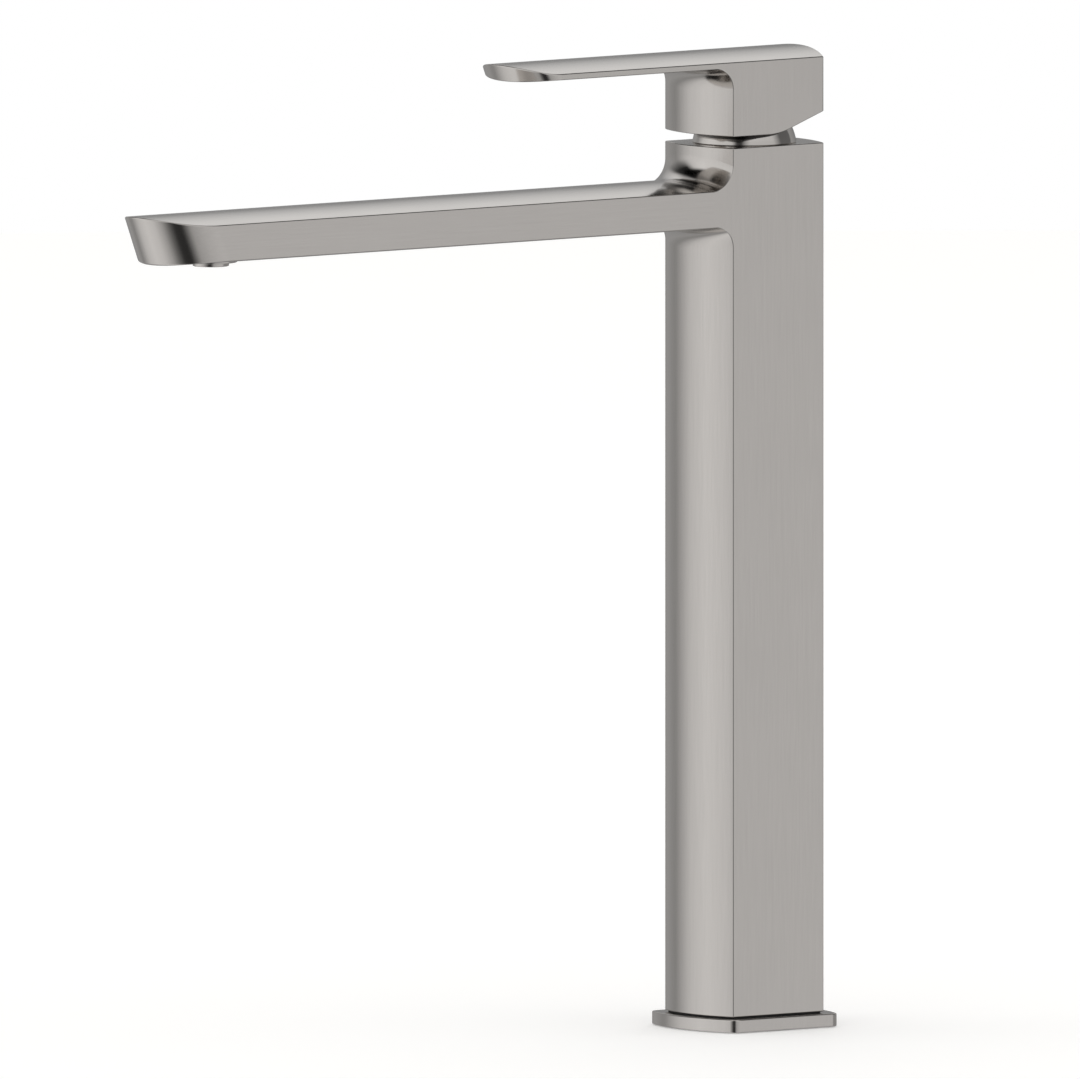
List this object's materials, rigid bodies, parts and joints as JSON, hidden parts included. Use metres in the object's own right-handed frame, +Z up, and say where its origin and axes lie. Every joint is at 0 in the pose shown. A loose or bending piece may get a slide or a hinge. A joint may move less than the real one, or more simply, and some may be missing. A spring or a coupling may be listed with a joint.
{
  "type": "basin mixer tap",
  "caption": "Tall deck-mounted single-lever basin mixer: a hollow flat-sided column, a long straight level spout with a tilting aerator nozzle, and a lever handle over a dome.",
  "frame": {"origin": "on the column axis, in the plane of the deck, which is the underside of flange and foot", "axes": "+Z up the column, -Y along the spout to its tip, +X to the right as seen by someone at the spout's tip who looks at the column"},
  "size_m": [0.0472, 0.2856, 0.3305],
  "materials": {
    "brushed_nickel": "brushed nickel plating over brass",
    "brushed_nickel_zinc": "brushed nickel plating over a zinc casting",
    "raw_brass": "machined, unplated",
    "steel": "bright steel",
    "copper": "drawn copper tube",
    "black_rubber": "moulded seal rubber",
    "white_plastic": "moulded acetal",
    "blue_plastic": "moulded acetal",
    "black_plastic": "moulded nylon",
    "ceramic": "lapped alumina"
  },
  "bodies": {
    "mixer": {"body": "brushed_nickel", "base_flange": "brushed_nickel", "base_gasket": "black_rubber", "foot_seal": "black_rubber", "foot_insert": "raw_brass", "foot_screws": "steel", "hot_riser_tube": "copper", "cold_riser_tube": "copper", "riser_seals": "black_rubber", "valve_seat": "raw_brass", "valve_seat_seals": "black_rubber", "cartridge_base": "white_plastic", "port_seals": "black_rubber", "cartridge_housing": "white_plastic", "fixed_disc": "ceramic", "turret_seal": "black_rubber", "retaining_nut": "raw_brass", "collar_ring": "black_rubber", "dome_collar": "brushed_nickel", "aerator_housing": "brushed_nickel", "aerator_insert": "white_plastic", "aerator_seal": "black_rubber"},
    "turret": {"turret": "steel", "stem_pin": "steel"},
    "disc": {"moving_disc": "ceramic", "disc_carrier": "blue_plastic"},
    "handle": {"handle": "brushed_nickel_zinc", "stem": "raw_brass", "stem_bush": "black_plastic", "handle_screw": "steel", "screw_plug": "brushed_nickel_zinc"},
    "nozzle": {"aerator_nozzle": "brushed_nickel", "aerator_screen": "white_plastic"}
  },
  "joints": [
    {"name": "handle_swivel", "type": "hinge", "parent": "mixer", "child": "turret", "pos_m": [0, 0, 0.2965], "axis": [0, 0, 1], "range_deg": [-45, 45]},
    {"name": "handle_lift", "type": "hinge", "parent": "turret", "child": "handle", "pos_m": [0, 0, 0.2965], "axis": [-1, 0, 0], "range_deg": [0, 20]},
    {"name": "disc_slide", "type": "slide", "parent": "turret", "child": "disc", "axis": [0, -1, 0], "range_m": [0, 0.0036]},
    {"name": "nozzle_tilt", "type": "hinge", "parent": "mixer", "child": "nozzle", "pos_m": [0, -0.2263, 0.2744], "axis": [-1, 0, 0], "range_deg": [-7, 7]}
  ],
  "couplings": [
    {"joint": "disc_slide", "follows": "handle_lift", "m_per_rad": 0.010288}
  ]
}
